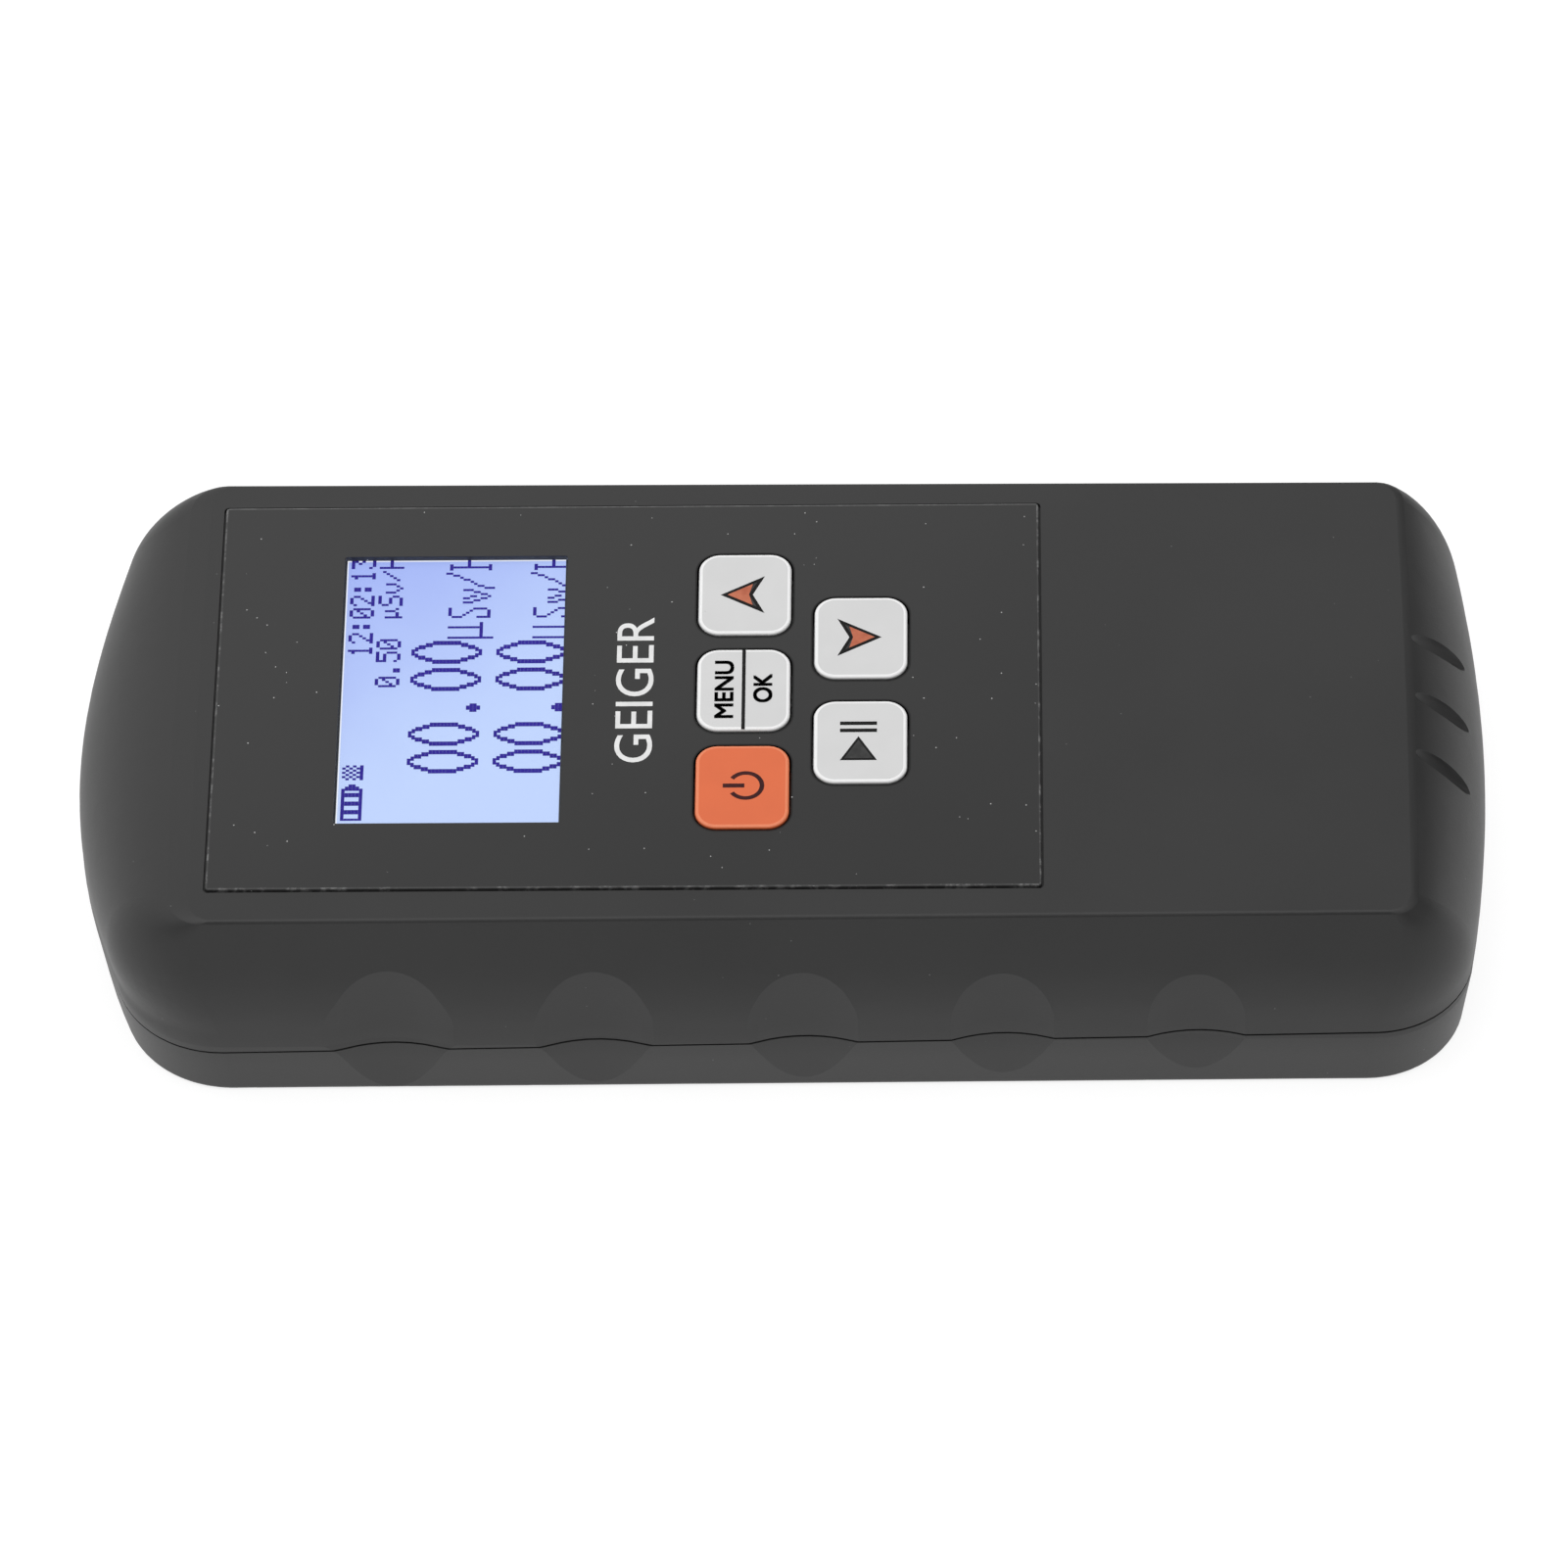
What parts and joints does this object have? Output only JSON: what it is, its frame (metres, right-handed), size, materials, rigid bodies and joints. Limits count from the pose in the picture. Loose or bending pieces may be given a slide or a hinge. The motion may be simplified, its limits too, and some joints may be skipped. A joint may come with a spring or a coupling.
{
  "type": "geiger counter",
  "caption": "Hand-held radiation meter with a dot-matrix display, rounded press keys, finger grips, sound slots and a sliding battery door",
  "frame": {"origin": "middle of the footprint, on the surface the case lies on", "axes": "+X towards the end with the sound slots, +Z out of the display face, -Y towards the side with the power key"},
  "size_m": [0.1501, 0.0684, 0.0245],
  "materials": {
    "case_plastic": "satin moulded charcoal ABS",
    "overlay_panel": "fine matte film, charcoal",
    "window_clear": "clear, polished",
    "display_cell": "backlit liquid crystal, pale blue",
    "frame_metal": "stamped steel",
    "ribbon_film": "amber polyimide",
    "key_grey": "satin light grey",
    "key_orange": "satin orange",
    "switch_black": "moulded black nylon",
    "plunger_white": "moulded white nylon",
    "board_green": "green solder mask",
    "steel": "zinc plated",
    "chip_black": "moulded epoxy",
    "coil_ferrite": "ferrite and varnished wire",
    "capacitor_sleeve": "blue sleeve",
    "tube_metal": "thin-walled steel",
    "cap_nickel": "nickel plated",
    "clip_brass": "spring brass",
    "cell_wrap": "printed steel can sleeve",
    "spring_steel": "bright spring wire"
  },
  "bodies": {
    "case": {"top_shell": "case_plastic", "bottom_shell": "case_plastic", "front_overlay": "overlay_panel", "display_window": "window_clear", "display_glass": "display_cell", "display_frame": "frame_metal", "display_ribbon": "ribbon_film", "switch_up": "switch_black", "switch_menu": "switch_black", "switch_power": "switch_black", "switch_down": "switch_black", "switch_play": "switch_black", "main_board": "board_green", "board_screws": "steel", "case_screws": "steel", "processor_chip": "chip_black", "buzzer": "chip_black", "step_up_coil": "coil_ferrite", "tube_capacitor": "capacitor_sleeve", "geiger_tube": "tube_metal", "tube_cap_front": "cap_nickel", "tube_cap_rear": "cap_nickel", "tube_clip_front": "clip_brass", "tube_clip_rear": "clip_brass", "contact_plate_1": "clip_brass", "contact_plate_2": "clip_brass", "contact_plate_3": "clip_brass", "contact_plate_4": "clip_brass", "battery_cell_1": "cell_wrap", "cell_spring_1": "spring_steel", "battery_cell_2": "cell_wrap", "cell_spring_2": "spring_steel", "battery_cell_3": "cell_wrap", "cell_spring_3": "spring_steel"},
    "battery_door_body": {"battery_door": "case_plastic"},
    "up_key": {"key_up": "key_grey", "plunger_up": "plunger_white"},
    "menu_key": {"key_menu": "key_grey", "plunger_menu": "plunger_white"},
    "power_key": {"key_power": "key_orange", "plunger_power": "plunger_white"},
    "down_key": {"key_down": "key_grey", "plunger_down": "plunger_white"},
    "play_key": {"key_play": "key_grey", "plunger_play": "plunger_white"}
  },
  "joints": [
    {"name": "battery_door_slide", "type": "slide", "parent": "case", "child": "battery_door_body", "axis": [1, 0, 0], "range_m": [0, 0.05]},
    {"name": "up_press", "type": "slide", "parent": "case", "child": "up_key", "axis": [0, 0, -1], "range_m": [0, 0.0005], "stiffness_N_per_m": 2400, "springref_m": -0.0002},
    {"name": "menu_press", "type": "slide", "parent": "case", "child": "menu_key", "axis": [0, 0, -1], "range_m": [0, 0.0005], "stiffness_N_per_m": 2400, "springref_m": -0.0002},
    {"name": "power_press", "type": "slide", "parent": "case", "child": "power_key", "axis": [0, 0, -1], "range_m": [0, 0.0005], "stiffness_N_per_m": 2400, "springref_m": -0.0002},
    {"name": "down_press", "type": "slide", "parent": "case", "child": "down_key", "axis": [0, 0, -1], "range_m": [0, 0.0005], "stiffness_N_per_m": 2400, "springref_m": -0.0002},
    {"name": "play_press", "type": "slide", "parent": "case", "child": "play_key", "axis": [0, 0, -1], "range_m": [0, 0.0005], "stiffness_N_per_m": 2400, "springref_m": -0.0002}
  ]
}
